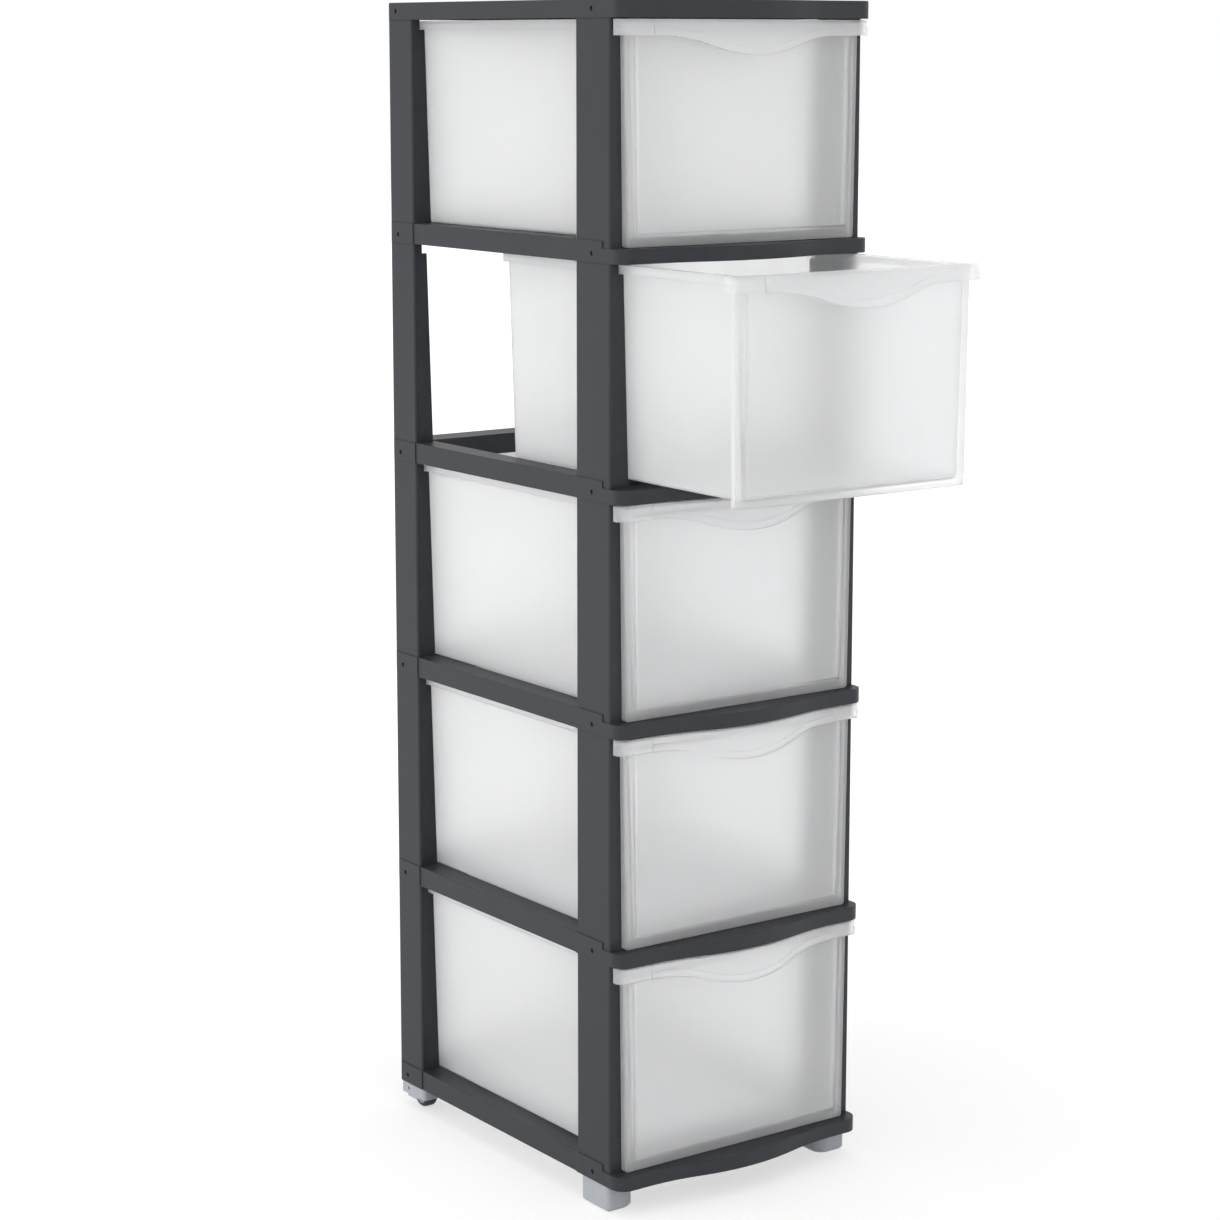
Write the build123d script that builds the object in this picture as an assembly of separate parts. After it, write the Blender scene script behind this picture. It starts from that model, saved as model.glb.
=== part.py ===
"""Plastic drawer tower: five stacked tier frames, a top panel, five drawers, two feet and two wheel units.

Millimetres, +Z up, front of the tower towards -Y. While a piece is made, Y = 0 is the front face of the
front posts and Z = 0 is the floor; every piece is moved back by ORIGIN_SHIFT when it is written.
"""
import os

from build123d import *

# ---- Driving dimensions of the tower ----
WIDTH = 265.0  # outside of the side skirts
POST_SPAN = 340.0  # front face of the front posts to the rear face of the rear posts
PITCH = 197.0  # height of one tier, seam to seam
TIERS = 5
FLOOR_GAP = 23.5  # floor to the lowest seam
OPEN_TIER = 2  # the tier whose drawer stands open, counted from the top
OPEN_TRAVEL = 146.0  # how far that drawer stands open

# ---- Decks (top panel and tier floors) ----
LIP_REACH = 16.0  # straight front edge, ahead of the posts
BOW_DEPTH = 12.5  # how much further the middle bows out
BOW_HALF = 102.0  # half the width of the bow
FRONT_CORNER = 13.0
REAR_CORNER = 5.0
SKIRT = 2.0  # thickness of every skirt wall
DECK = 2.2  # thickness of every deck
TOP_HEIGHT = 15.0
LIP_HEIGHT = 12.3
LEDGE_HEIGHT = 18.2
LEDGE_START = 10.0  # where the low lip steps up to the ledges
RAIL = 22.5  # width of the side ledges
FRONT_BAR = 34.0  # from the post faces to the floor window
REAR_BAR = 30.0
RIB = 1.6
RIB_DROP = 7.0
SIDE_RECESS = 0.9  # panel recess of a side rail between its posts

# ---- Posts ----
POST_INSET = 0.9  # post faces stand this far inside the skirts
POST_WALL = 2.4
FRONT_POST = 48.5
REAR_POST = 39.5
POST_EDGE = 2.0
PLUG_HEIGHT = 10.0
PLUG_ROOT = 5.0
SNAP_Z = 7.5
SNAP_FRONT = 24.5
SNAP_REAR = 15.0  # from the rear face
SNAP_HOLE = 2.0
BARB = 1.5
BARB_PROUD = 1.2

# ---- Clearances ----
FIT = 0.3  # between moulded pieces that plug together
SLIDE_GAP = 0.3  # under a drawer
GUIDE_GAP = 0.7  # at each side of a drawer
RIM_GAP = 1.0  # above a drawer's rim
PANEL_GAP = 0.6  # behind and below a drawer's front
AXLE_GAP = 0.05

# ---- Drawers ----
BODY_TOP_INSET = 15.3  # tower side to the body's outer wall, under the rim
BODY_TAPER = 4.8  # how much the wall leans in down to the floor
DRAWER_REAR = 18.5  # tower's rear to the body's rear wall, at the top
REAR_TAPER = 1.8
BODY_WALL = 1.8
BODY_CORNER = 9.0
RIM_SIDE = 5.0
RIM_REAR = 4.0
RIM_HEIGHT = 7.0
FRONT_SIDE_INSET = 10.6  # tower side to the front panel's edge, at the top
FRONT_TAPER = 2.2
FRONT_FACE = 6.0  # border of the front panel, ahead of the posts
FRONT_WALL = 2.4
FRONT_CORNER_LOW = 8.0
BORDER = 9.6
RAISE = 3.2
PANEL_EDGE = 1.2

# ---- Handle ----
EAR_INSET = 1.8
EAR_DEPTH = 13.0
EAR_LENGTH = 33.0
EAR_STEP = 1.4
HANDLE_SETBACK = 0.8  # behind the edge of the lip above
HANDLE_REAR = 3.5
HANDLE_WALL = 2.2
SMILE_DROP = 15.5  # how much lower the middle hangs than the ears
SMILE_HALF = 92.0
BEAD_HEIGHT = 6.5
BEAD_PROUD = 0.7

# ---- Feet and wheels ----
FOOT_WIDTH = 30.0
FOOT_LENGTH = 40.0
FOOT_SETBACK = 3.0
FOOT_CORNER = 4.0
FOOT_ROUND = 12.0
FOOT_TREAD = 2.5
HOUSING_DROP = 11.0
HOUSING_WALL = 2.5
LOBE = 8.0
WHEEL_RADIUS = 12.5
HUB_RADIUS = 8.8
WHEEL_WIDTH = 12.0
TREAD_ROUND = 3.0
AXLE_RADIUS = 1.5
WHEEL_SIDE_GAP = 0.5

HALF = WIDTH / 2
HANDLE_FRONT = LIP_REACH - HANDLE_SETBACK + BOW_DEPTH
FRONT_REACH = max(LIP_REACH + BOW_DEPTH, HANDLE_FRONT + OPEN_TRAVEL)
ORIGIN_SHIFT = (FRONT_REACH - POST_SPAN) / 2
RIM_TOP = PITCH - RIM_GAP
BODY_FLOOR = LEDGE_HEIGHT + SLIDE_GAP
BODY_REAR = POST_SPAN - DRAWER_REAR
FRONT_BACK = -PANEL_GAP
WHEEL_Y = POST_SPAN - FOOT_SETBACK / 2 - FOOT_LENGTH / 2
FOOT_X = HALF - POST_INSET - FOOT_WIDTH / 2


def seam(tier):
    """Height of the lower edge of a tier frame, tier 1 being the highest."""
    return FLOOR_GAP + (TIERS - tier) * PITCH


def deck_outline(setback=0.0):
    """Plan of a deck: straight sides and rear, and a front edge that bows out in the middle."""
    lip = setback - LIP_REACH
    turn = lip - BOW_DEPTH / 2
    side = HALF - setback
    rear = POST_SPAN - setback
    left = TangentArc((-BOW_HALF, lip), (-BOW_HALF / 2, turn), tangent=(1, 0))
    middle = ThreePointArc((-BOW_HALF / 2, turn), (0, lip - BOW_DEPTH), (BOW_HALF / 2, turn))
    right = TangentArc((BOW_HALF, lip), (BOW_HALF / 2, turn), tangent=(-1, 0))
    sides = Polyline((BOW_HALF, lip), (side, lip), (side, rear), (-side, rear), (-side, lip), (-BOW_HALF, lip))
    plan = make_face([left, middle, right, *sides.edges()])
    for at_front, radius in ((True, FRONT_CORNER), (False, REAR_CORNER)):
        corners = [v for v in plan.vertices() if abs(v.X) > side - 0.01 and (v.Y < 0) == at_front]
        plan = fillet(corners, radius - setback)
    return plan


def slab(plan, low, high):
    """A plan extruded from one height to another."""
    return Pos(0, 0, low) * extrude(plan, high - low)


def block(x_range, y_range, z_range):
    """A box between two corners."""
    size = [high - low for low, high in (x_range, y_range, z_range)]
    middle = [(high + low) / 2 for low, high in (x_range, y_range, z_range)]
    return Pos(*middle) * Box(*size)


def both_sides(piece):
    """A piece and its mirror image across the tower's middle plane."""
    return piece + mirror(piece, about=Plane.YZ)


def snap_cylinders(radius, inner, outer, height):
    """Four short cylinders along X, at the snap points of the corners."""
    pins = Part()
    for y in (SNAP_FRONT, POST_SPAN - SNAP_REAR):
        pin = Pos((inner + outer) / 2, y, height) * Rot(0, 90, 0) * Cylinder(radius, outer - inner)
        pins += both_sides(pin)
    return pins


def top_panel():
    """The lid: a flat deck with a deep skirt, stiffened by ribs underneath."""
    panel = slab(deck_outline(), 0, TOP_HEIGHT)
    panel = fillet(panel.faces().sort_by(Axis.Z)[-1].edges(), PANEL_EDGE)
    panel -= slab(deck_outline(SKIRT), 0, TOP_HEIGHT - DECK)
    inside = WIDTH - 2 * SKIRT
    rib_height = TOP_HEIGHT - DECK
    for step in (1, 2, 3):
        y = POST_SPAN * step / 4
        panel += block((-inside / 2, inside / 2), (y - RIB / 2, y + RIB / 2), (rib_height - RIB_DROP / 2, rib_height))
    panel -= snap_cylinders(SNAP_HOLE, HALF - 2 * SKIRT, HALF + SKIRT, SNAP_Z)
    return panel


def floor_ring():
    """Floor of a tier: a low lip in front, higher ledges at the sides and rear, and an open middle."""
    far = 2 * (WIDTH + POST_SPAN)
    behind = Pos(0, LEDGE_START + far / 2) * Rectangle(far, far)
    outside = deck_outline()
    inside = deck_outline(SKIRT)
    inside_behind = Pos(0, LEDGE_START + SKIRT + far / 2) * Rectangle(far, far)
    ring = slab(outside, 0, LIP_HEIGHT) + slab(outside & behind, 0, LEDGE_HEIGHT)
    ring -= slab(inside, 0, LIP_HEIGHT - DECK)
    ring -= slab(inside & inside_behind, 0, LEDGE_HEIGHT - DECK)
    window_x = HALF - RAIL
    window_y = (FRONT_BAR, POST_SPAN - REAR_BAR)
    wall_y = (FRONT_BAR - SKIRT, POST_SPAN - REAR_BAR + SKIRT)
    ring += block((-window_x - SKIRT, window_x + SKIRT), wall_y, (0, LEDGE_HEIGHT))
    ring -= block((-window_x, window_x), window_y, (-1, LEDGE_HEIGHT + 1))
    recess_y = (FRONT_POST, POST_SPAN - REAR_POST)
    recess = block((HALF - SIDE_RECESS, HALF + 1), recess_y, (-1, LEDGE_HEIGHT + 1))
    return ring - both_sides(recess)


def floor_ribs():
    """Cross ribs that stiffen the side rails and the front and rear bars from below."""
    low = LEDGE_HEIGHT - DECK - RIB_DROP
    high = LEDGE_HEIGHT - DECK / 2
    ribs = Part()
    clear = POST_SPAN - FRONT_POST - REAR_POST
    for step in (1, 2, 3):
        y = FRONT_POST + clear * step / 4
        rib = block((HALF - RAIL - SKIRT / 2, HALF - SKIRT / 2 - SIDE_RECESS), (y - RIB / 2, y + RIB / 2), (low, high))
        ribs += both_sides(rib)
    for x in (-HALF / 3, HALF / 3):
        rear = (POST_SPAN - REAR_BAR + SKIRT / 2, POST_SPAN - SKIRT / 2)
        ribs += block((x - RIB / 2, x + RIB / 2), rear, (low, high))
        front = (LEDGE_START, FRONT_BAR - SKIRT / 2)
        ribs += block((x - RIB / 2, x + RIB / 2), front, (low, high))
    return ribs


def channel(x_range, y_range, z_range, wall):
    """A post wall: three sides of a box, open towards the drawer."""
    outer = block(x_range, y_range, z_range)
    hollow_y = (y_range[0] + wall, y_range[1] - wall)
    return outer - block((x_range[0] - wall, x_range[1] - wall), hollow_y, z_range)


def posts():
    """Four channel posts with plugs on top, cut back to let the drawer and its rim slide past."""
    face = HALF - POST_INSET
    plug_face = HALF - SKIRT - FIT
    inner = HALF - BODY_TOP_INSET - BODY_TAPER
    front_y = (0, FRONT_POST)
    rear_y = (POST_SPAN - REAR_POST, POST_SPAN - POST_INSET)
    columns = Part()
    for y_range, foot in ((front_y, LIP_HEIGHT - DECK / 2), (rear_y, LEDGE_HEIGHT - DECK / 2)):
        post = channel((inner, face), y_range, (foot, PITCH), POST_WALL)
        post = fillet(post.edges().filter_by(Axis.Z).group_by(Axis.X)[-1], POST_EDGE)
        plug_y = (y_range[0] + SKIRT, y_range[1] - SKIRT)
        plug_z = (PITCH - PLUG_ROOT, PITCH + PLUG_HEIGHT)
        plug = channel((inner, plug_face), plug_y, plug_z, POST_WALL)
        plug = fillet(plug.edges().filter_by(Axis.Z).group_by(Axis.X)[-1], POST_EDGE)
        columns += both_sides(post + plug)
    columns += snap_cylinders(BARB, plug_face - POST_WALL / 2, plug_face + BARB_PROUD, PITCH + SNAP_Z)
    return columns - drawer_passage()


def drawer_passage():
    """The space a sliding drawer needs between the posts, with its guide gaps."""
    body_top = HALF - BODY_TOP_INSET + GUIDE_GAP
    body_low = body_top - BODY_TAPER
    rim = body_top + RIM_SIDE
    rim_low = RIM_TOP - RIM_HEIGHT - GUIDE_GAP
    high = PITCH + PLUG_HEIGHT + 1
    points = [(-body_low, LEDGE_HEIGHT), (body_low, LEDGE_HEIGHT), (body_top, rim_low), (rim, rim_low)]
    points += [(rim, high), (-rim, high), (-rim, rim_low), (-body_top, rim_low)]
    section = make_face(Polyline(*points, close=True).edges())
    return extrude(Plane.XZ * section, -2 * POST_SPAN, both=True)


def tier_frame():
    """One tier: floor and posts in a single moulding, with snap holes for the posts below."""
    frame = floor_ring() + floor_ribs() + posts()
    return frame - snap_cylinders(SNAP_HOLE, HALF - 2 * SKIRT, HALF + SKIRT, SNAP_Z)


def body_plan(setback, lean):
    """Plan of the drawer body, drawn in by a wall's thickness and by how far the walls lean."""
    half = HALF - BODY_TOP_INSET - BODY_TAPER * lean - setback
    rear = BODY_REAR - REAR_TAPER * lean - setback
    front = FRONT_WALL - FRONT_FACE - (0 if setback else FRONT_WALL / 2)
    outline = Polyline((-half, front), (half, front), (half, rear), (-half, rear), close=True)
    plan = make_face(outline.edges())
    corners = [v for v in plan.vertices() if v.Y > 0]
    return fillet(corners, BODY_CORNER - setback)


def body_solid(setback, low, high):
    """The tapered body, or the space inside it, between two heights."""
    height = RIM_TOP - BODY_FLOOR
    plans = []
    for z in (low, high):
        plans.append(Pos(0, 0, z) * body_plan(setback, (RIM_TOP - z) / height))
    return loft(plans)


def drawer_rim():
    """Rim round the sides and rear: a flat flange turned down at its edge."""
    half = HALF - BODY_TOP_INSET + RIM_SIDE
    rear = BODY_REAR + RIM_REAR
    low = RIM_TOP - RIM_HEIGHT
    front = FRONT_WALL - FRONT_FACE
    rim = Pos(0, (front + rear) / 2, (low + RIM_TOP) / 2) * Box(2 * half, rear - front, RIM_HEIGHT)
    corners = rim.edges().filter_by(Axis.Z).group_by(Axis.Y)[-1]
    rim = fillet(corners, BODY_CORNER + RIM_REAR)
    hollow_y = (front - 1, rear - BODY_WALL)
    hollow = block((BODY_WALL - half, half - BODY_WALL), hollow_y, (low - 1, RIM_TOP - BODY_WALL))
    corners = hollow.edges().filter_by(Axis.Z).group_by(Axis.Y)[-1]
    return rim - fillet(corners, BODY_CORNER + RIM_REAR - BODY_WALL)


def front_plan(setback):
    """Outline of the drawer's front panel: it narrows downwards and has rounded lower corners."""
    top = RIM_TOP - setback
    low = LIP_HEIGHT + PANEL_GAP + setback
    half_top = HALF - FRONT_SIDE_INSET - setback
    half_low = half_top - FRONT_TAPER
    outline = Polyline((-half_low, low), (half_low, low), (half_top, top), (-half_top, top), close=True)
    plan = make_face(outline.edges())
    corners = [v for v in plan.vertices() if v.Y < PITCH / 2]
    return fillet(corners, max(FRONT_CORNER_LOW - setback, BODY_WALL))


def front_slab(plan, front, back):
    """A front-panel outline as a slab between two depths."""
    return Pos(0, back, 0) * extrude(Plane.XZ * plan, back - front)


def front_panel():
    """Front of a drawer: a bordered flange with its edge turned back and a raised middle."""
    panel = front_slab(front_plan(0), -FRONT_FACE, FRONT_BACK)
    panel -= front_slab(front_plan(BODY_WALL), FRONT_WALL - FRONT_FACE, FRONT_BACK + 1)
    middle = front_slab(front_plan(BORDER), -FRONT_FACE - RAISE, -FRONT_FACE)
    front_edges = middle.faces().sort_by(Axis.Y)[0].edges()
    return panel + chamfer(front_edges, RAISE / 2)


def smile_plan(drop):
    """Area above the handle's lower edge, which hangs in a smooth smile; drop lowers or lifts the edge."""
    low = RIM_TOP - EAR_DEPTH - drop
    deep = low - SMILE_DROP
    half_way = (low + deep) / 2
    wide = HALF + RAIL
    left = TangentArc((-SMILE_HALF, low), (-SMILE_HALF / 2, half_way), tangent=(1, 0))
    middle = ThreePointArc((-SMILE_HALF / 2, half_way), (0, deep), (SMILE_HALF / 2, half_way))
    right = TangentArc((SMILE_HALF, low), (SMILE_HALF / 2, half_way), tangent=(-1, 0))
    over = Polyline((SMILE_HALF, low), (wide, low), (wide, PITCH), (-wide, PITCH), (-wide, low), (-SMILE_HALF, low))
    return make_face([left, middle, right, *over.edges()])


def handle_band(setback):
    """Space taken by the handle in plan, from its rear to a bowed front set back from the lip."""
    half = HALF - EAR_INSET
    keep = Pos(0, -HANDLE_REAR - LIP_REACH) * Rectangle(2 * half, 2 * LIP_REACH)
    return deck_outline(HANDLE_SETBACK + setback) & keep


def handle():
    """Full-width pull: a hooded band with flat ears, bowed out and deeper in the middle, with a bead below."""
    deepest = RIM_TOP - EAR_DEPTH - SMILE_DROP
    above_edge = front_slab(smile_plan(0), -3 * LIP_REACH, 0)
    above_bead = front_slab(smile_plan(-BEAD_HEIGHT), -3 * LIP_REACH, 0)
    bead = slab(handle_band(0), deepest, RIM_TOP) & above_edge
    bead -= above_bead
    band = (slab(handle_band(BEAD_PROUD), deepest, RIM_TOP) & above_edge) + bead
    step = HALF - EAR_INSET - EAR_LENGTH
    ear_front = HANDLE_SETBACK + EAR_STEP - LIP_REACH
    ear_cut = block((step, HALF), (-2 * LIP_REACH, ear_front), (deepest, PITCH))
    band -= both_sides(ear_cut)
    hollow = slab(handle_band(HANDLE_WALL + EAR_STEP), deepest - 1, RIM_TOP - HANDLE_WALL)
    inner = half_hollow_width()
    hollow &= block((-inner, inner), (-3 * LIP_REACH, 0), (deepest - 1, RIM_TOP))
    return band - hollow


def half_hollow_width():
    """Half the width of the finger space behind the band, inside the end walls of the ears."""
    return HALF - EAR_INSET - HANDLE_WALL


def drawer():
    """One drawer: tapered body, rim, front panel and handle in a single moulding."""
    body = body_solid(0, BODY_FLOOR, RIM_TOP)
    bottom = body.faces().sort_by(Axis.Z)[0].edges().filter_by(Axis.Y)
    body = fillet(bottom, BODY_CORNER / 3)
    whole = body + drawer_rim() + front_panel() + handle()
    whole -= body_solid(BODY_WALL, BODY_FLOOR + BODY_WALL, RIM_TOP + 1)
    pocket_back = FRONT_WALL - FRONT_FACE
    return whole - front_slab(front_plan(BORDER + BODY_WALL), pocket_back - RAISE, pocket_back)


def corner_plan(y_low, y_high, setback=0.0):
    """Plan of a corner foot: square to the tower's corner outside, well rounded towards the inside."""
    outer = HALF - POST_INSET - setback
    inner = HALF - POST_INSET - FOOT_WIDTH + setback
    low = y_low + setback
    high = y_high - setback
    plan = make_face(Polyline((inner, low), (outer, low), (outer, high), (inner, high), close=True).edges())
    plan = fillet([v for v in plan.vertices() if v.X > FOOT_X], FOOT_CORNER - setback)
    return fillet([v for v in plan.vertices() if v.X < inner + 0.01], FOOT_ROUND - setback)


def corner_plug(y_low, y_high):
    """The part of a foot that is pressed up into the hollow corner of the lowest tier."""
    outer = HALF - SKIRT - FIT
    inner = HALF - RAIL + SKIRT + FIT
    top = FLOOR_GAP + PLUG_HEIGHT
    hollow = POST_WALL
    plug = block((inner, outer), (y_low, y_high), (FLOOR_GAP, top))
    hollow_y = (y_low + hollow, y_high - hollow)
    return plug - block((inner + hollow, outer - hollow), hollow_y, (FLOOR_GAP + hollow, top + 1))


def front_foot():
    """Fixed front foot, a rounded block with a chamfered tread."""
    low = FOOT_SETBACK
    high = FOOT_SETBACK + FOOT_LENGTH
    foot = slab(corner_plan(low, high), 0, FLOOR_GAP)
    foot = chamfer(foot.faces().sort_by(Axis.Z)[0].edges(), FOOT_TREAD)
    return foot + corner_plug(low + FOOT_CORNER, high - FOOT_CORNER)


def axle_cylinder(radius, length):
    """A cylinder on the wheel's axis."""
    return Pos(FOOT_X, WHEEL_Y, WHEEL_RADIUS) * Rot(0, 90, 0) * Cylinder(radius, length)


def wheel_housing():
    """Rear corner housing: a hollow block whose cheeks reach down round the wheel's axle."""
    low_y = WHEEL_Y - FOOT_LENGTH / 2
    high_y = WHEEL_Y + FOOT_LENGTH / 2
    low_z = FLOOR_GAP - HOUSING_DROP
    shell = slab(corner_plan(low_y, high_y), low_z, FLOOR_GAP)
    cheek = axle_cylinder(LOBE, FOOT_WIDTH)
    cheek += block((FOOT_X - FOOT_WIDTH / 2, FOOT_X + FOOT_WIDTH / 2), (WHEEL_Y - LOBE, WHEEL_Y + LOBE),
                   (WHEEL_RADIUS, FLOOR_GAP))
    space = slab(corner_plan(low_y, high_y, HOUSING_WALL), -1, FLOOR_GAP - HOUSING_WALL)
    wheel_space = WHEEL_WIDTH / 2 + WHEEL_SIDE_GAP
    boss = axle_cylinder(2 * AXLE_RADIUS, FOOT_WIDTH - HOUSING_WALL)
    boss -= block((FOOT_X - wheel_space, FOOT_X + wheel_space), (low_y, high_y), (0, FLOOR_GAP))
    housing = (shell + cheek) - space + boss
    housing += corner_plug(low_y + FOOT_CORNER, high_y - FOOT_CORNER)
    housing -= axle_cylinder(WHEEL_RADIUS + 2 * WHEEL_SIDE_GAP, 2 * wheel_space)
    housing -= axle_cylinder(AXLE_RADIUS + AXLE_GAP, FOOT_WIDTH - HOUSING_WALL / 2)
    pin_y = POST_SPAN - SNAP_REAR
    hole_z = (low_z + FLOOR_GAP) / 2
    return housing - Pos(HALF, pin_y, hole_z) * Rot(0, 90, 0) * Cylinder(BARB, 3 * HOUSING_WALL)


def wheel_hub():
    """Hub of a wheel, bored for its axle."""
    hub = axle_cylinder(HUB_RADIUS, WHEEL_WIDTH)
    groove = axle_cylinder(HUB_RADIUS - SKIRT, WHEEL_WIDTH) - axle_cylinder(2 * AXLE_RADIUS, WHEEL_WIDTH)
    groove -= axle_cylinder(HUB_RADIUS, WHEEL_WIDTH - 2 * SKIRT)
    return hub - groove - axle_cylinder(AXLE_RADIUS + AXLE_GAP, WHEEL_WIDTH)


def wheel_tyre():
    """Tyre shrunk on the hub, with a rounded tread."""
    tyre = axle_cylinder(WHEEL_RADIUS, WHEEL_WIDTH)
    tyre = fillet(tyre.edges().filter_by(GeomType.CIRCLE), TREAD_ROUND)
    return tyre - axle_cylinder(HUB_RADIUS, WHEEL_WIDTH)


def wheel_axle():
    """Steel pin that carries a wheel between the cheeks of its housing."""
    return axle_cylinder(AXLE_RADIUS, FOOT_WIDTH - HOUSING_WALL)


def write(piece, name):
    """Write one piece in the tower's own frame."""
    export_step(Pos(0, ORIGIN_SHIFT, 0) * piece, f"parts/{name}.step")


def write_pair(piece, name):
    """Write a right-hand piece and its mirror image."""
    write(piece, f"{name}_right")
    write(mirror(piece, about=Plane.YZ), f"{name}_left")


def main():
    os.makedirs("parts", exist_ok=True)
    write(Pos(0, 0, seam(0)) * top_panel(), "top_panel")
    frame = tier_frame()
    box = drawer()
    for tier in range(1, TIERS + 1):
        travel = OPEN_TRAVEL if tier == OPEN_TIER else 0.0
        write(Pos(0, 0, seam(tier)) * frame, f"tier_frame_{tier}")
        write(Pos(0, -travel, seam(tier)) * box, f"drawer_{tier}")
    write_pair(front_foot(), "front_foot")
    write_pair(wheel_housing(), "wheel_housing")
    write_pair(wheel_hub(), "wheel_hub")
    write_pair(wheel_tyre(), "wheel_tyre")
    write_pair(wheel_axle(), "wheel_axle")


main()
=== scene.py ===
"""Plastic drawer tower: finishes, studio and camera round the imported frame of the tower."""
from math import copysign, hypot, pi, sqrt

import bpy
from bpy.props import FloatProperty, FloatVectorProperty, PointerProperty
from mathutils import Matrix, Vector


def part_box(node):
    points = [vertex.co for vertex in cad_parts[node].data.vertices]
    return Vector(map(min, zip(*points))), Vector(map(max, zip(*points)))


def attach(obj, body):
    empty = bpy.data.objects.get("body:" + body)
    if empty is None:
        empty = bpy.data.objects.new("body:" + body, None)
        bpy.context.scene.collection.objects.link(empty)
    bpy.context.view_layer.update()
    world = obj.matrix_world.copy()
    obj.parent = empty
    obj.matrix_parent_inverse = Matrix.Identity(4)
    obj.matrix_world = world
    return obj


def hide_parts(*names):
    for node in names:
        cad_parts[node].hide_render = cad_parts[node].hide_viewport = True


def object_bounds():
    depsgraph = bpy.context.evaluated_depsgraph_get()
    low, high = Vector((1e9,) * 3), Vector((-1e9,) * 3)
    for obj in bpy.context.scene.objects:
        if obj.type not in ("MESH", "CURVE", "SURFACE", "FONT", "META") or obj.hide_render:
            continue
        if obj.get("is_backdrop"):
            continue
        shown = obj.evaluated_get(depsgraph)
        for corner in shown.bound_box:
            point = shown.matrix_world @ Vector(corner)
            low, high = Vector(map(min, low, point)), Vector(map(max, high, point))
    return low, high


bl_info = {
    "name": "Plastic drawer tower",
    "version": (1, 0, 0),
    "blender": (4, 5, 0),
    "location": "3D View > Sidebar > Tower",
    "description": "Finishes a drawer tower of moulded plastic and sets it in a plain studio",
    "category": "Object",
}

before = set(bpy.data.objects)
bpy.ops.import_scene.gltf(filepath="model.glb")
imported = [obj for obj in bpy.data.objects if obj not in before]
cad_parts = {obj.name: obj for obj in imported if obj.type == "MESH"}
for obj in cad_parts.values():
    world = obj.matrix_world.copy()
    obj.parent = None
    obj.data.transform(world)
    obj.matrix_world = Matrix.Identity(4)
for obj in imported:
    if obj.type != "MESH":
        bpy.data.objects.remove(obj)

MM = 0.001
MERGE_REACH = 0.01 * MM  # corners of loose triangles that lie this near are one corner
SMOOTH_ANGLE = 0.6  # faces that meet at less than this are shaded as one surface

NEAR_FLOOR = 0.3  # the floor keeps its shadows up to here
FAR_FLOOR = 1.4  # and is plain white from here on
NEAR_GLOW_SHARE = 0.5  # share of the floor's white glow beside the tower
FLOOR_WHITE = (0.86, 0.86, 0.86)
FLOOR_GLOW = 1.22
RIGHT_LOSS = 0.22  # the light from all round is weaker from the right
REAR_GAIN = 0.12  # and stronger from the rear

LEFT_LAMP_PLACE = (-2.4, 0.9, 0.55)
LEFT_LAMP_SIZE = 1.8
LEFT_LAMP_AIM = Vector((0.0, 0.0, -0.1))  # from the middle of the tower
FRONT_LAMP_PLACE = (-0.6, -3.0, 1.9)
FRONT_LAMP_SIZE = 1.6
TOP_LAMP_PLACE = (-0.3, -0.2, 3.0)
TOP_LAMP_SIZE = 1.6


def nodes_named(*starts):
    """The pieces of the frame whose names start in one of these ways."""
    return [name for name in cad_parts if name.startswith(starts)]


FRAME_NODES = nodes_named("top_panel", "tier_frame")
DRAWER_NODES = nodes_named("drawer")
FOOT_NODES = nodes_named("front_foot")
HOUSING_NODES = nodes_named("wheel_housing")
HUB_NODES = nodes_named("wheel_hub")
TYRE_NODES = nodes_named("wheel_tyre")
AXLE_NODES = nodes_named("wheel_axle")


# ---- Shader arithmetic ----
class Wire:
    """A shader socket that takes part in arithmetic; each operation adds one Math node."""

    def __init__(self, graph, socket):
        self.graph = graph
        self.socket = socket

    def math(self, operation, *values):
        return self.graph.node("ShaderNodeMath", {"operation": operation}, dict(enumerate(values)))

    def __add__(self, other):
        return self.math("ADD", self, other)

    __radd__ = __add__

    def __sub__(self, other):
        return self.math("SUBTRACT", self, other)

    def __rsub__(self, other):
        return self.math("SUBTRACT", other, self)

    def __mul__(self, other):
        return self.math("MULTIPLY", self, other)

    __rmul__ = __mul__

    def power(self, other):
        return self.math("POWER", self, other)

    def largest(self, other):
        return self.math("MAXIMUM", self, other)


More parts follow.
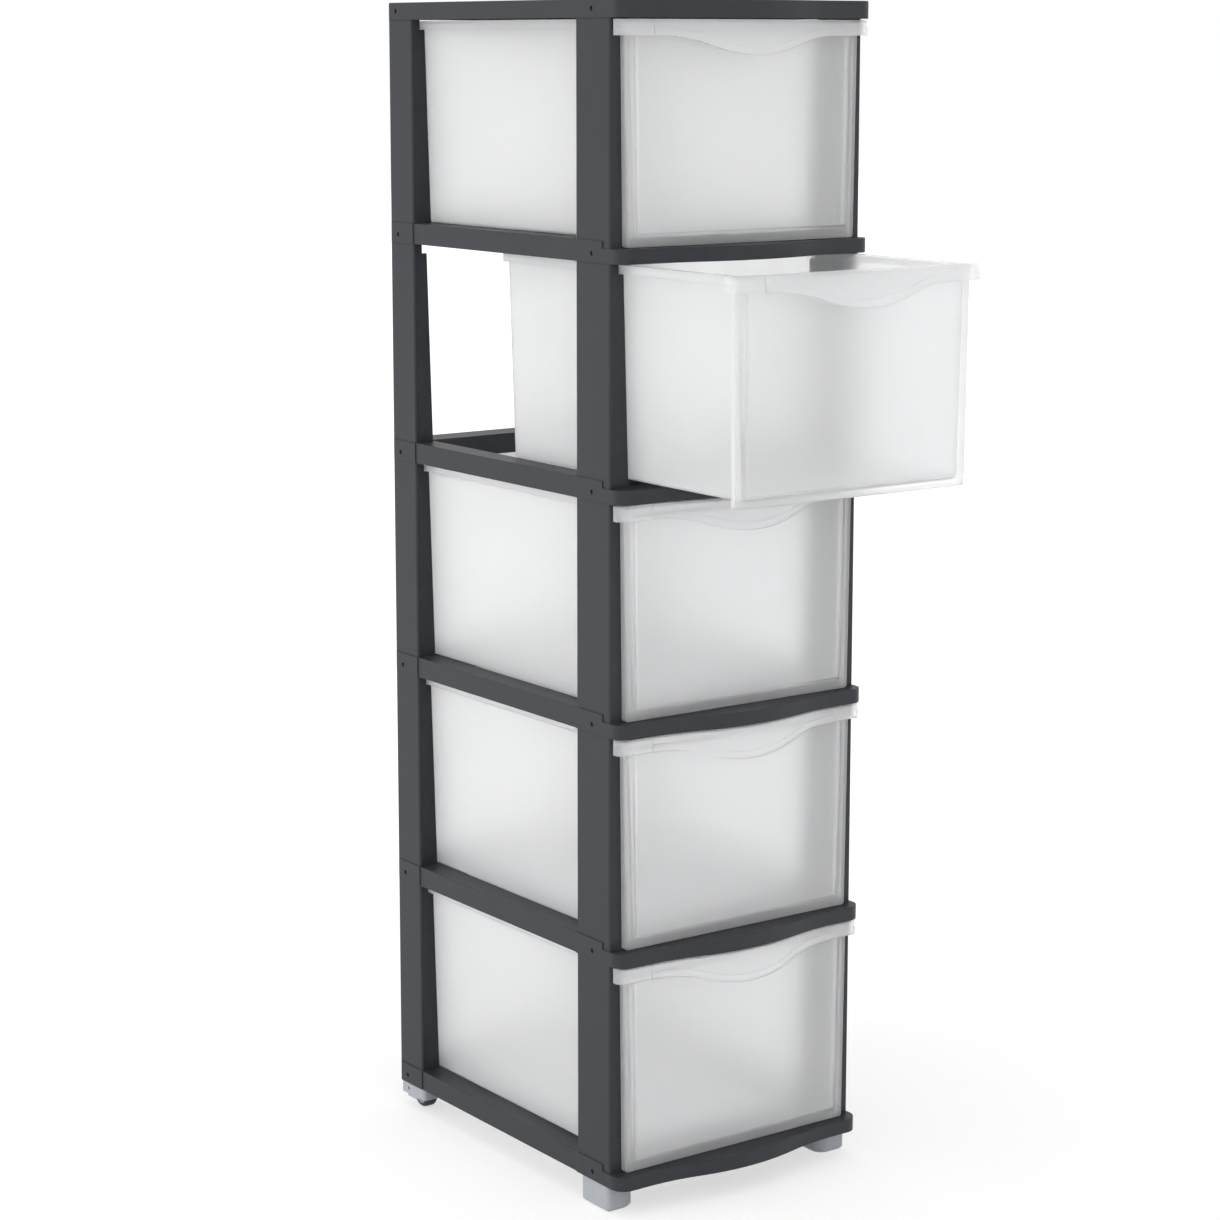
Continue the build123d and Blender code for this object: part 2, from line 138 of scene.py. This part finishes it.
class Graph:
    """The node tree of a material or a world, built one node at a time."""

    def __init__(self, owner):
        owner.use_nodes = True
        self.tree = owner.node_tree
        self.tree.nodes.clear()

    def node(self, kind, settings=None, inputs=None, output=0):
        """Adds a node, makes its settings first, then fills or links its sockets."""
        made = self.tree.nodes.new(kind)
        for name, value in (settings or {}).items():
            setattr(made, name, value)
        for name, value in (inputs or {}).items():
            if isinstance(value, Wire):
                self.tree.links.new(value.socket, made.inputs[name])
            else:
                made.inputs[name].default_value = value
        return Wire(self, made.outputs[output])

    def place(self):
        """Object coordinates, in metres."""
        return self.node("ShaderNodeTexCoord", output="Object")

    def noise(self, size, detail=2.0, stretch=(1.0, 1.0, 1.0)):
        """Noise whose grains are about size metres across, drawn out along an axis if asked."""
        where = self.node("ShaderNodeMapping", {}, {"Vector": self.place(), "Scale": stretch})
        return self.node("ShaderNodeTexNoise", {}, {"Vector": where, "Scale": 1 / size, "Detail": detail})

    def between(self, low, high, share):
        """A number from low to high."""
        return low + (high - low) * share

    def blend(self, share, first, second):
        """A colour between two."""
        settings = {"data_type": "RGBA", "clamp_factor": True}
        return self.node("ShaderNodeMix", settings, {0: share, 6: first, 7: second}, output=2)

    def soft_edges(self, radius):
        """A normal that rounds the edges of a moulding."""
        return self.node("ShaderNodeBevel", {"samples": 6}, {"Radius": radius})

    def bump(self, height, depth, strength, normal=None):
        """A normal that follows a height."""
        inputs = {"Height": height, "Distance": depth, "Strength": strength}
        if normal is not None:
            inputs["Normal"] = normal
        return self.node("ShaderNodeBump", {}, inputs)

    def surface(self, shader, kind="ShaderNodeOutputMaterial"):
        """Ends the tree with its output node."""
        end = self.tree.nodes.new(kind)
        self.tree.links.new(shader.socket, end.inputs["Surface"])


def colour(rgb, level=1.0):
    """An RGBA value from a colour and a brightness."""
    return (rgb[0] * level, rgb[1] * level, rgb[2] * level, 1.0)


def give(material, nodes):
    """Puts one material on all of these pieces of the frame."""
    for name in nodes:
        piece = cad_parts[name]
        piece.data.materials.clear()
        piece.data.materials.append(material)


# ---- Materials ----
def moulded_frame(look):
    """Charcoal polypropylene with a fine spark-eroded grain and faint flow marks."""
    material = bpy.data.materials.new("charcoal_moulded_plastic")
    graph = Graph(material)
    grain = graph.noise(0.9 * MM, 3.0)
    flow = graph.noise(70 * MM, 2.0, (1.0, 1.0, 0.35))
    rub = graph.noise(18 * MM, 4.0)
    rough = look.frame_roughness
    base = graph.blend(flow, colour(look.frame_colour, 0.88), colour(look.frame_colour, 1.14))
    shade = graph.blend(rub.power(3.0) * 0.8, base, colour(look.frame_colour, 1.5))
    height = grain + 0.4 * flow
    graph.surface(graph.node("ShaderNodeBsdfPrincipled", {}, {
        "Base Color": shade,
        "Roughness": graph.between(rough - 0.07, rough + 0.09, 0.5 * (grain + rub)),
        "Specular IOR Level": 0.3,
        "Normal": graph.bump(height, 0.05 * MM, 0.5, graph.soft_edges(0.7 * MM)),
    }))
    return material


def frosted_drawer(look):
    """Milky translucent polypropylene: frosted faces, slightly uneven walls and faint vertical flow."""
    material = bpy.data.materials.new("frosted_translucent_plastic")
    graph = Graph(material)
    frost = graph.noise(0.7 * MM, 2.0)
    flow = graph.noise(45 * MM, 2.0, (1.0, 1.0, 0.22))
    rough = look.drawer_roughness
    base = graph.blend(flow, colour(look.drawer_colour, 0.985), colour(look.drawer_colour, 1.005))
    graph.surface(graph.node("ShaderNodeBsdfPrincipled", {}, {
        "Base Color": base,
        "Roughness": graph.between(rough - 0.05, rough + 0.07, flow),
        "IOR": 1.2,
        "Transmission Weight": look.drawer_clearness,
        "Coat Weight": 0.5,
        "Coat Roughness": 0.3,
        "Coat IOR": 1.49,
        "Normal": graph.bump(frost + 2.0 * flow, 0.04 * MM, 0.5, graph.soft_edges(0.6 * MM)),
    }))
    return material


def grey_foot(look):
    """Light grey polypropylene with a satin face."""
    material = bpy.data.materials.new("grey_foot_plastic")
    graph = Graph(material)
    grain = graph.noise(0.8 * MM, 2.0)
    scuff = graph.noise(6 * MM, 4.0, (1.0, 1.0, 2.5))
    base = graph.blend(scuff, colour(look.foot_colour, 0.92), colour(look.foot_colour, 1.08))
    graph.surface(graph.node("ShaderNodeBsdfPrincipled", {}, {
        "Base Color": base,
        "Roughness": graph.between(0.36, 0.52, scuff),
        "Specular IOR Level": 0.45,
        "Normal": graph.bump(grain, 0.04 * MM, 0.5, graph.soft_edges(0.6 * MM)),
    }))
    return material


def grey_hub(look):
    """Darker grey plastic of the wheel hubs, with a fine grain."""
    material = bpy.data.materials.new("grey_hub_plastic")
    graph = Graph(material)
    grain = graph.noise(0.5 * MM, 3.0)
    base = graph.blend(grain, colour(look.foot_colour, 0.72), colour(look.foot_colour, 0.84))
    graph.surface(graph.node("ShaderNodeBsdfPrincipled", {}, {
        "Base Color": base,
        "Roughness": graph.between(0.38, 0.5, grain),
        "Specular IOR Level": 0.45,
        "Normal": graph.bump(grain, 0.03 * MM, 0.6, graph.soft_edges(0.3 * MM)),
    }))
    return material


def tyre_rubber(look):
    """Dull black rubber, a little dusty on its tread."""
    material = bpy.data.materials.new("tyre_rubber")
    graph = Graph(material)
    dust = graph.noise(2.2 * MM, 5.0)
    fine = graph.noise(0.4 * MM, 2.0)
    base = graph.blend(dust.power(3.0), colour(look.tyre_colour), colour((0.2, 0.19, 0.18)))
    graph.surface(graph.node("ShaderNodeBsdfPrincipled", {}, {
        "Base Color": base,
        "Roughness": graph.between(0.62, 0.85, dust),
        "Specular IOR Level": 0.4,
        "Normal": graph.bump(fine + dust, 0.06 * MM, 0.6),
    }))
    return material


def drawn_steel():
    """Drawn steel of the axle pins, with fine marks along their length."""
    material = bpy.data.materials.new("drawn_axle_steel")
    graph = Graph(material)
    marks = graph.noise(0.25 * MM, 3.0, (0.05, 1.0, 1.0))
    graph.surface(graph.node("ShaderNodeBsdfPrincipled", {}, {
        "Base Color": graph.blend(marks, colour((0.5, 0.5, 0.52)), colour((0.66, 0.66, 0.68))),
        "Metallic": 1.0,
        "Roughness": graph.between(0.26, 0.42, marks),
        "Normal": graph.bump(marks, 0.01 * MM, 0.5),
    }))
    return material


# ---- Properties ----
class TowerLook(bpy.types.PropertyGroup):
    """Colours and finishes of the tower."""

    frame_colour: FloatVectorProperty(
        name="Frame colour", description="Charcoal of the top panel and tier frames",
        subtype="COLOR", min=0.0, max=1.0, default=(0.026, 0.0285, 0.034))
    frame_roughness: FloatProperty(
        name="Frame roughness", description="Roughness of the moulded grain",
        min=0.1, max=0.9, default=0.46)
    drawer_colour: FloatVectorProperty(
        name="Drawer colour", description="Milky tint of the drawers",
        subtype="COLOR", min=0.0, max=1.0, default=(0.985, 0.988, 0.992))
    drawer_roughness: FloatProperty(
        name="Drawer frosting", description="Roughness of the frosted faces",
        min=0.0, max=1.0, default=0.52)
    drawer_clearness: FloatProperty(
        name="Drawer clearness", description="Share of the light that passes the walls",
        min=0.0, max=1.0, default=0.78)
    foot_colour: FloatVectorProperty(
        name="Foot colour", description="Grey of the feet and wheel housings",
        subtype="COLOR", min=0.0, max=1.0, default=(0.40, 0.42, 0.45))
    tyre_colour: FloatVectorProperty(
        name="Tyre colour", description="Black of the tyres",
        subtype="COLOR", min=0.0, max=1.0, default=(0.022, 0.022, 0.024))


class TowerShape(bpy.types.PropertyGroup):
    """Sizes of the pieces that are reshaped here."""

    housing_edge: FloatProperty(
        name="Housing edge", description="Height of the flat lower edge of the wheel housings",
        unit="LENGTH", default=10.6 * MM)
    front_corner: FloatProperty(
        name="Front corner", description="Radius of the drawer fronts' lower corners in the frame",
        unit="LENGTH", default=8 * MM)
    front_corner_seen: FloatProperty(
        name="Front corner, finished", description="Radius that those corners get",
        unit="LENGTH", default=2.5 * MM)
    front_corner_x: FloatProperty(
        name="Front corner place", description="Tower's middle to the corners' centres",
        unit="LENGTH", default=111.8 * MM)
    front_depth: FloatProperty(
        name="Front depth", description="Handle band to the back of the drawer's front",
        unit="LENGTH", default=27.2 * MM)


class TowerStudio(bpy.types.PropertyGroup):
    """Lamps, floor and camera."""

    side_level: FloatProperty(
        name="Side lamp", description="Brightness of a white face lit by the left lamp alone",
        min=0.0, max=3.0, default=0.18)
    front_level: FloatProperty(
        name="Front lamp", description="Brightness of a white face lit by the front lamp alone",
        min=0.0, max=3.0, default=0.06)
    top_level: FloatProperty(
        name="Top lamp", description="Brightness of a white face lit by the top lamp alone",
        min=0.0, max=3.0, default=0.16)
    ambient: FloatProperty(
        name="Ambient", description="Brightness of the light from all round",
        min=0.0, max=1.0, default=0.92)
    floor_size: FloatProperty(
        name="Floor size", description="Side of the floor",
        unit="LENGTH", default=30.0)
    camera_place: FloatVectorProperty(
        name="Camera place", description="Position of the camera",
        subtype="TRANSLATION", unit="LENGTH", default=(-1.5475, -2.0609, 0.9900))
    camera_turn: FloatProperty(
        name="Camera turn", description="Angle from the front view round to the left side",
        subtype="ANGLE", unit="ROTATION", default=0.62137)
    camera_dip: FloatProperty(
        name="Camera dip", description="Angle that the camera looks down",
        subtype="ANGLE", unit="ROTATION", default=0.1658)
    camera_lens: FloatProperty(
        name="Camera lens", description="Focal length",
        subtype="DISTANCE_CAMERA", unit="CAMERA", default=88.4)
    camera_drop: FloatProperty(
        name="Camera shift", description="How far the picture is shifted down, in frame widths",
        default=0.0555)


# ---- Finishes of the pieces ----
class TOWER_OT_finish_frame(bpy.types.Operator):
    """Give the top panel and the tier frames their charcoal moulded plastic"""

    bl_idname = "tower.finish_frame"
    bl_label = "Finish frame"

    def execute(self, context):
        give(moulded_frame(context.scene.tower_look), FRAME_NODES)
        return {"FINISHED"}


class TOWER_OT_finish_drawers(bpy.types.Operator):
    """Give the five drawers their frosted translucent plastic"""

    bl_idname = "tower.finish_drawers"
    bl_label = "Finish drawers"

    def execute(self, context):
        give(frosted_drawer(context.scene.tower_look), DRAWER_NODES)
        return {"FINISHED"}


class TOWER_OT_finish_feet(bpy.types.Operator):
    """Give the front feet and the wheel housings their grey plastic"""

    bl_idname = "tower.finish_feet"
    bl_label = "Finish feet"

    def execute(self, context):
        give(grey_foot(context.scene.tower_look), FOOT_NODES + HOUSING_NODES)
        return {"FINISHED"}


class TOWER_OT_finish_wheels(bpy.types.Operator):
    """Give the hubs, tyres and axle pins their finishes"""

    bl_idname = "tower.finish_wheels"
    bl_label = "Finish wheels"

    def execute(self, context):
        look = context.scene.tower_look
        give(grey_hub(look), HUB_NODES)
        give(tyre_rubber(look), TYRE_NODES)
        give(drawn_steel(), AXLE_NODES)
        return {"FINISHED"}


# ---- Reshaped pieces ----
def merged_copy(node, name):
    """A copy of a finished piece of the frame, with its loose triangles joined, ready to be reshaped."""
    bpy.ops.object.select_all(action="DESELECT")
    piece = bpy.data.objects.new(name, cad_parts[node].data.copy())
    bpy.context.scene.collection.objects.link(piece)
    bpy.context.view_layer.objects.active = piece
    piece.select_set(True)
    bpy.ops.object.mode_set(mode="EDIT")
    bpy.ops.mesh.select_all(action="SELECT")
    bpy.ops.mesh.remove_doubles(threshold=MERGE_REACH)
    bpy.ops.object.mode_set(mode="OBJECT")
    bpy.ops.mesh.customdata_custom_splitnormals_clear()
    return piece


def stand_in(piece, node, body):
    """Smooths a reshaped copy, which then stands for its piece of the frame."""
    bpy.ops.object.shade_smooth_by_angle(angle=SMOOTH_ANGLE)
    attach(piece, body)
    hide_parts(node)


class TOWER_OT_trim_housings(bpy.types.Operator):
    """Make the wheel housings, cut off flat just below their axle pins"""

    bl_idname = "tower.trim_housings"
    bl_label = "Trim wheel housings"

    def execute(self, context):
        edge = context.scene.tower_shape.housing_edge
        for node in HOUSING_NODES:
            piece = merged_copy(node, node.replace("wheel", "trimmed"))
            bpy.ops.object.mode_set(mode="EDIT")
            bpy.ops.mesh.select_all(action="SELECT")
            bpy.ops.mesh.bisect(plane_co=(0, 0, edge), plane_no=(0, 0, 1), clear_inner=True, use_fill=True)
            bpy.ops.mesh.select_all(action="SELECT")
            bpy.ops.mesh.normals_make_consistent(inside=False)
            bpy.ops.object.mode_set(mode="OBJECT")
            stand_in(piece, node, "frame")
        return {"FINISHED"}


def outline_reach(across, down, radius, sharp):
    """How far a nearly square corner lies from its centre in a direction, as a share of the round one."""
    far, near, reach = max(across, down), min(across, down), hypot(across, down)
    flat = radius - sharp
    if near * radius <= far * flat:
        return reach / far
    along = flat * (across + down) / reach
    return (along + sqrt(along ** 2 - 2 * flat ** 2 + sharp ** 2)) / radius


class TOWER_OT_square_drawers(bpy.types.Operator):
    """Make the drawers, with the lower corners of their fronts nearly square"""

    bl_idname = "tower.square_drawers"
    bl_label = "Square the drawer fronts"

    def execute(self, context):
        shape = context.scene.tower_shape
        for node in DRAWER_NODES:
            piece = merged_copy(node, "front_squared_" + node)
            low = Vector(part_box(node)[0])
            back = low.y + shape.front_depth
            centre = Vector((shape.front_corner_x, 0, low.z + shape.front_corner))
            for vertex in piece.data.vertices:
                across, down = abs(vertex.co.x) - centre.x, centre.z - vertex.co.z
                if across <= 0 or down <= 0 or vertex.co.y > back:
                    continue
                scale = outline_reach(across, down, shape.front_corner, shape.front_corner_seen)
                vertex.co.x = copysign(centre.x + across * scale, vertex.co.x)
                vertex.co.z = centre.z - down * scale
            stand_in(piece, node, node)
        return {"FINISHED"}


# ---- Stage ----
def seen_as_background(graph):
    """1 for what the camera sees, straight, in a reflection or through the drawers, and otherwise 0."""
    path = graph.node("ShaderNodeLightPath").socket.node
    seen = Wire(graph, path.outputs["Is Camera Ray"])
    for kind in ("Is Glossy Ray", "Is Transmission Ray"):
        seen = seen.largest(Wire(graph, path.outputs[kind]))
    return seen


def studio_floor(size):
    """A large white floor that shows as the background and keeps the tower's shadow."""
    bpy.ops.object.select_all(action="DESELECT")
    bpy.ops.mesh.primitive_plane_add(size=size)
    floor = bpy.context.object
    floor.name = "studio_floor"
    material = bpy.data.materials.new("studio_floor_white")
    graph = Graph(material)
    seen = seen_as_background(graph)
    reach = graph.node("ShaderNodeVectorMath", {"operation": "LENGTH"}, {0: graph.place()}, output="Value")
    share = graph.node("ShaderNodeMapRange", {"interpolation_type": "SMOOTHSTEP"}, {
        "Value": reach,
        "From Min": NEAR_FLOOR,
        "From Max": FAR_FLOOR,
        "To Min": NEAR_GLOW_SHARE,
        "To Max": 1.0,
    })
    matt = graph.node("ShaderNodeBsdfDiffuse", {}, {"Color": colour(FLOOR_WHITE)})
    glow = graph.node("ShaderNodeEmission", {}, {"Color": colour((1.0, 1.0, 1.0)), "Strength": FLOOR_GLOW})
    graph.surface(graph.node("ShaderNodeMixShader", {}, {0: seen * share, 1: matt, 2: glow}))
    floor.data.materials.append(material)
    floor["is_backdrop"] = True


def studio_world(ambient):
    """White to the camera, in reflections and through the drawers, and a plain soft level on the tower."""
    world = bpy.data.worlds.new("studio_world")
    bpy.context.scene.world = world
    graph = Graph(world)
    shown = seen_as_background(graph)
    way = graph.node("ShaderNodeSeparateXYZ", {}, {0: graph.node("ShaderNodeTexCoord", output="Generated")})
    toward_right = Wire(graph, way.socket.node.outputs["X"])
    toward_rear = Wire(graph, way.socket.node.outputs["Y"])
    level = ambient * (1.0 - RIGHT_LOSS * toward_right + REAR_GAIN * toward_rear)
    light = graph.node("ShaderNodeBackground", {}, {
        "Color": colour((1.0, 1.0, 1.0)),
        "Strength": level + (1.0 - level) * shown,
    })
    graph.surface(light, "ShaderNodeOutputWorld")


def studio_lamp(name, place, target, size, level):
    """A square soft lamp, set by how bright it makes a white face at its target."""
    way = Vector(target) - Vector(place)
    data = bpy.data.lights.new(name, "AREA")
    data.size = size
    data.energy = level * (pi * way.length) ** 2
    lamp = bpy.data.objects.new(name, data)
    lamp.location = place
    lamp.rotation_euler = way.to_track_quat("-Z", "Y").to_euler()
    bpy.context.scene.collection.objects.link(lamp)


def photo_camera(studio):
    """The camera at the photograph's viewing angle."""
    data = bpy.data.cameras.new("photo_camera")
    data.lens = studio.camera_lens
    data.shift_y = -studio.camera_drop
    camera = bpy.data.objects.new("photo_camera", data)
    camera.location = studio.camera_place
    camera.rotation_euler = (pi / 2 - studio.camera_dip, 0.0, -studio.camera_turn)
    bpy.context.scene.collection.objects.link(camera)
    bpy.context.scene.camera = camera


class TOWER_OT_stage(bpy.types.Operator):
    """Set the floor, the lamps, the world and the camera"""

    bl_idname = "tower.stage"
    bl_label = "Set the stage"

    def execute(self, context):
        studio = context.scene.tower_studio
        context.scene.view_settings.view_transform = "Standard"
        studio_floor(studio.floor_size)
        studio_world(studio.ambient)
        low, high = (Vector(corner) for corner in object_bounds())
        middle = (low + high) / 2
        studio_lamp("left_lamp", LEFT_LAMP_PLACE, middle + LEFT_LAMP_AIM, LEFT_LAMP_SIZE, studio.side_level)
        studio_lamp("front_lamp", FRONT_LAMP_PLACE, middle, FRONT_LAMP_SIZE, studio.front_level)
        studio_lamp("top_lamp", TOP_LAMP_PLACE, (0, 0, high.z), TOP_LAMP_SIZE, studio.top_level)
        photo_camera(studio)
        return {"FINISHED"}


class TOWER_PT_tower(bpy.types.Panel):
    """Everything that finishes the tower, in order"""

    bl_idname = "TOWER_PT_tower"
    bl_label = "Drawer tower"
    bl_space_type = "VIEW_3D"
    bl_region_type = "UI"
    bl_category = "Tower"

    def draw(self, context):
        scene = context.scene
        for group in (scene.tower_look, scene.tower_shape, scene.tower_studio):
            for name in group.__annotations__:
                self.layout.prop(group, name)
        for operator in OPERATORS:
            self.layout.operator(operator.bl_idname)


OPERATORS = (
    TOWER_OT_finish_frame,
    TOWER_OT_finish_drawers,
    TOWER_OT_finish_feet,
    TOWER_OT_finish_wheels,
    TOWER_OT_trim_housings,
    TOWER_OT_square_drawers,
    TOWER_OT_stage,
)
CLASSES = (TowerLook, TowerShape, TowerStudio, *OPERATORS, TOWER_PT_tower)


def register():
    for kind in CLASSES:
        bpy.utils.register_class(kind)
    bpy.types.Scene.tower_look = PointerProperty(type=TowerLook)
    bpy.types.Scene.tower_shape = PointerProperty(type=TowerShape)
    bpy.types.Scene.tower_studio = PointerProperty(type=TowerStudio)


def unregister():
    del bpy.types.Scene.tower_studio
    del bpy.types.Scene.tower_shape
    del bpy.types.Scene.tower_look
    for kind in reversed(CLASSES):
        bpy.utils.unregister_class(kind)


def main():
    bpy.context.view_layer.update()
    register()
    bpy.ops.tower.finish_frame()
    bpy.ops.tower.finish_drawers()
    bpy.ops.tower.finish_feet()
    bpy.ops.tower.finish_wheels()
    bpy.ops.tower.trim_housings()
    bpy.ops.tower.square_drawers()
    bpy.ops.tower.stage()


if __name__ == "__main__":
    main()
